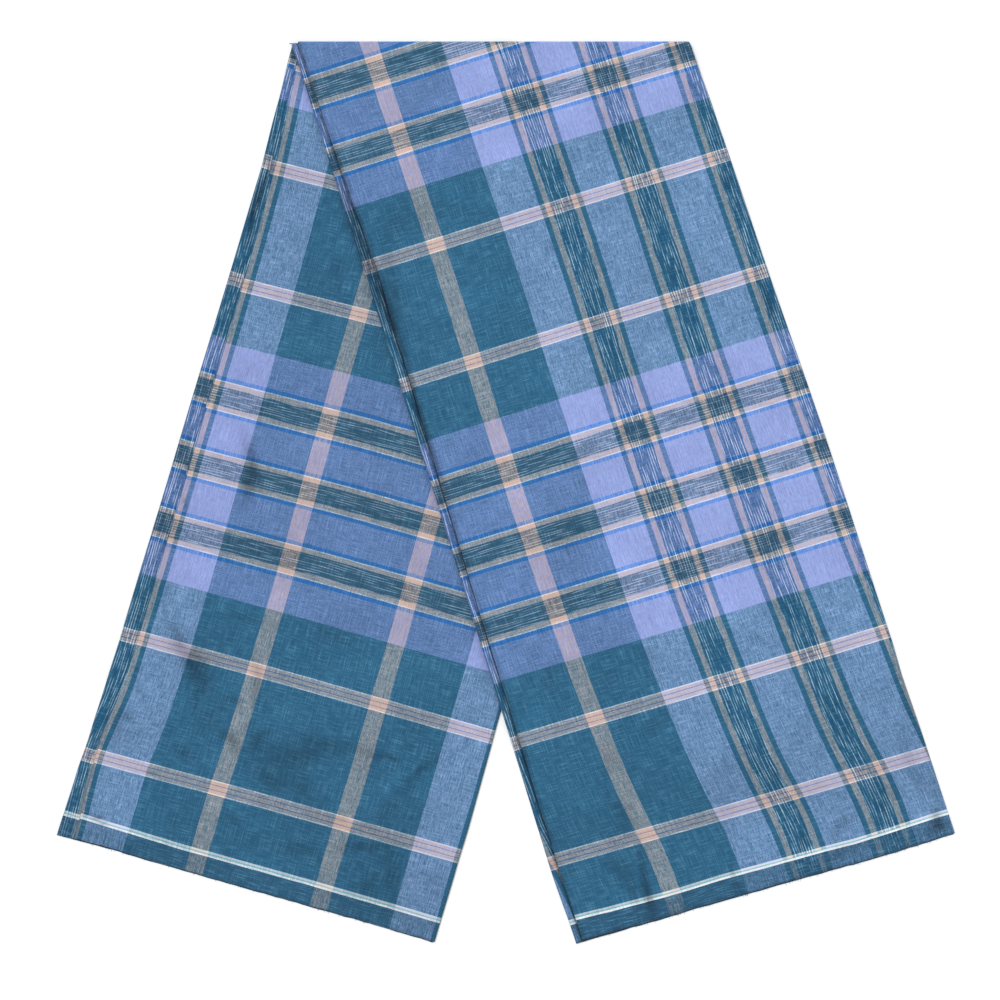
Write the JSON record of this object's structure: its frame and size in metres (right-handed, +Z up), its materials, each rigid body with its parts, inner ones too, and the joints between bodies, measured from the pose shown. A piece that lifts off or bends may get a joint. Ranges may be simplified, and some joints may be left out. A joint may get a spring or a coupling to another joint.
{
  "type": "folded longyi cloth",
  "caption": "Checked cotton longyi (sarong) cloth, folded lengthwise into a band and turned over once, lying flat with its legs spread in an upturned V.",
  "frame": {"origin": "middle of the part's outline on the surface that it lies on", "axes": "+Z up from the surface, +Y from the cut ends to the top fold, +X to the side of the over leg"},
  "size_m": [1.016, 1.018, 0.0061],
  "materials": {
    "checked_cotton": "plain-woven cotton, soft matt with a slight sheen, teal, lavender, peach and ikat check"
  },
  "bodies": {
    "root": {"under_leg_layers": "checked_cotton", "under_leg_face": "checked_cotton", "over_leg_layers": "checked_cotton", "over_leg_face": "checked_cotton"}
  },
  "joints": []
}
